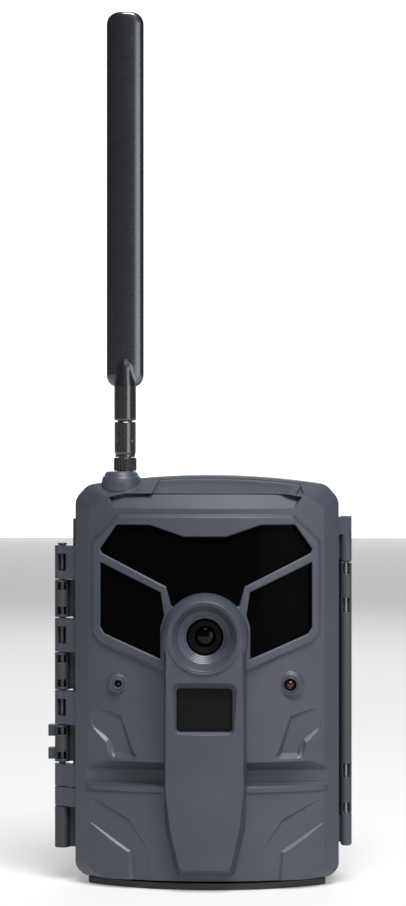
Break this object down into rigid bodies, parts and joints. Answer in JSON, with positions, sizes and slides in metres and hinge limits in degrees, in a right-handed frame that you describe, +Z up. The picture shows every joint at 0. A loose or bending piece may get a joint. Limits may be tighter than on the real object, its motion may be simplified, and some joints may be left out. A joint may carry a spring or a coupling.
{
  "type": "trail camera",
  "caption": "Cellular trail camera: battery case with a hinged camera door, side latch lever, tree bracket and a folding paddle antenna.",
  "frame": {"origin": "axis of the tripod socket, at the underside of the base", "axes": "+Z up, lens looks along -Y, +X to the right of someone facing the lens"},
  "size_m": [0.116, 0.0795, 0.331],
  "materials": {
    "housing_grey": "fine moulded texture, blue-grey",
    "case_grey": "fine moulded texture, darker green-grey",
    "lever_grey": "fine moulded texture",
    "hood_grey": "satin",
    "black_plastic": "fine moulded texture",
    "antenna_black": "fine spark-eroded texture",
    "black_rubber": "matt",
    "key_rubber": "matt",
    "ir_filter": "polished, near black",
    "pir_lens": "satin, dark, faceted",
    "lens_black": "anodised black",
    "lens_glass": "coated",
    "sensor_dark": "clear dark",
    "lamp_red": "clear red",
    "lamp_lens": "smoked lens",
    "steel": "drawn",
    "nickel": "nickel plated",
    "brass": "turned",
    "circuit_board": "solder mask",
    "chip": "moulded epoxy",
    "coax": "smooth jacket",
    "display_dark": "dark glass",
    "clear_pane": "clear",
    "cell_wrap": "printed sleeve",
    "card_black": "satin"
  },
  "bodies": {
    "case": {"rear_case": "case_grey", "base_pad": "black_rubber", "base_screws": "steel", "tripod_insert": "brass", "mount_bracket": "case_grey", "bracket_screws": "steel", "battery_tray": "black_plastic", "tray_screws": "steel", "aa_cells": "cell_wrap", "battery_contacts": "nickel", "battery_springs": "nickel", "contact_pins": "brass", "door_gasket": "black_rubber", "hinge_pin": "steel", "power_jack": "black_plastic", "jack_plug": "black_rubber"},
    "door": {"front_housing": "housing_grey", "ir_window": "ir_filter", "ir_board": "circuit_board", "ir_lamps": "lamp_lens", "lens_hood": "hood_grey", "lens_seal": "black_rubber", "lens_barrel": "lens_black", "lens_glass": "lens_glass", "lens_holder": "black_plastic", "image_sensor": "chip", "pir_window": "pir_lens", "pir_sensor": "nickel", "light_sensor_bezel": "hood_grey", "light_sensor": "sensor_dark", "lamp_bezel": "hood_grey", "status_lamp": "lamp_red", "main_board": "circuit_board", "board_screws": "steel", "modem_module": "nickel", "antenna_pigtail": "coax", "antenna_jack": "brass", "inner_cover": "black_plastic", "cover_screws": "steel", "display": "display_dark", "display_window": "clear_pane", "key_switches": "chip", "card_socket": "nickel", "contact_pads": "brass", "latch_pin": "steel"},
    "latch": {"latch_lever": "lever_grey"},
    "antenna_nut": {"antenna_nut": "antenna_black"},
    "antenna_base": {"antenna_base": "antenna_black", "antenna_pin": "steel"},
    "antenna_blade": {"antenna_blade": "antenna_black"},
    "power_slider": {"power_slider": "key_rubber"},
    "memory_card": {"memory_card": "card_black"},
    "button_ok": {"button_ok": "key_rubber"},
    "button_up": {"button_up": "key_rubber"},
    "button_down": {"button_down": "key_rubber"},
    "button_left": {"button_left": "key_rubber"},
    "button_right": {"button_right": "key_rubber"}
  },
  "joints": [
    {"name": "door_hinge", "type": "hinge", "parent": "case", "child": "door", "pos_m": [-0.0557, -0.0102, 0.075], "axis": [0, 0, -1], "range_deg": [0, 150]},
    {"name": "latch_swing", "type": "hinge", "parent": "door", "child": "latch", "pos_m": [0.0528, -0.0142, 0.0745], "axis": [0, 0, -1], "range_deg": [0, 95]},
    {"name": "nut_turn", "type": "hinge", "parent": "door", "child": "antenna_nut", "pos_m": [-0.031, -0.0185, 0.1595], "axis": [0, 0, 1], "continuous": true},
    {"name": "antenna_swivel", "type": "hinge", "parent": "door", "child": "antenna_base", "pos_m": [-0.031, -0.0185, 0.1635], "axis": [0, 0, 1], "continuous": true},
    {"name": "antenna_fold", "type": "hinge", "parent": "antenna_base", "child": "antenna_blade", "pos_m": [-0.031, -0.0185, 0.171], "axis": [-1, 0, 0], "range_deg": [0, 90]},
    {"name": "power_slide", "type": "slide", "parent": "door", "child": "power_slider", "axis": [0, 0, 1], "range_m": [-0.003, 0.003]},
    {"name": "card_slide", "type": "slide", "parent": "door", "child": "memory_card", "axis": [0, 1, 0], "range_m": [-0.0008, 0.008]},
    {"name": "button_ok_press", "type": "slide", "parent": "door", "child": "button_ok", "axis": [0, -1, 0], "range_m": [0, 0.0005], "stiffness_N_per_m": 900, "springref_m": -0.0004},
    {"name": "button_up_press", "type": "slide", "parent": "door", "child": "button_up", "axis": [0, -1, 0], "range_m": [0, 0.0005], "stiffness_N_per_m": 900, "springref_m": -0.0004},
    {"name": "button_down_press", "type": "slide", "parent": "door", "child": "button_down", "axis": [0, -1, 0], "range_m": [0, 0.0005], "stiffness_N_per_m": 900, "springref_m": -0.0004},
    {"name": "button_left_press", "type": "slide", "parent": "door", "child": "button_left", "axis": [0, -1, 0], "range_m": [0, 0.0005], "stiffness_N_per_m": 900, "springref_m": -0.0004},
    {"name": "button_right_press", "type": "slide", "parent": "door", "child": "button_right", "axis": [0, -1, 0], "range_m": [0, 0.0005], "stiffness_N_per_m": 900, "springref_m": -0.0004}
  ]
}
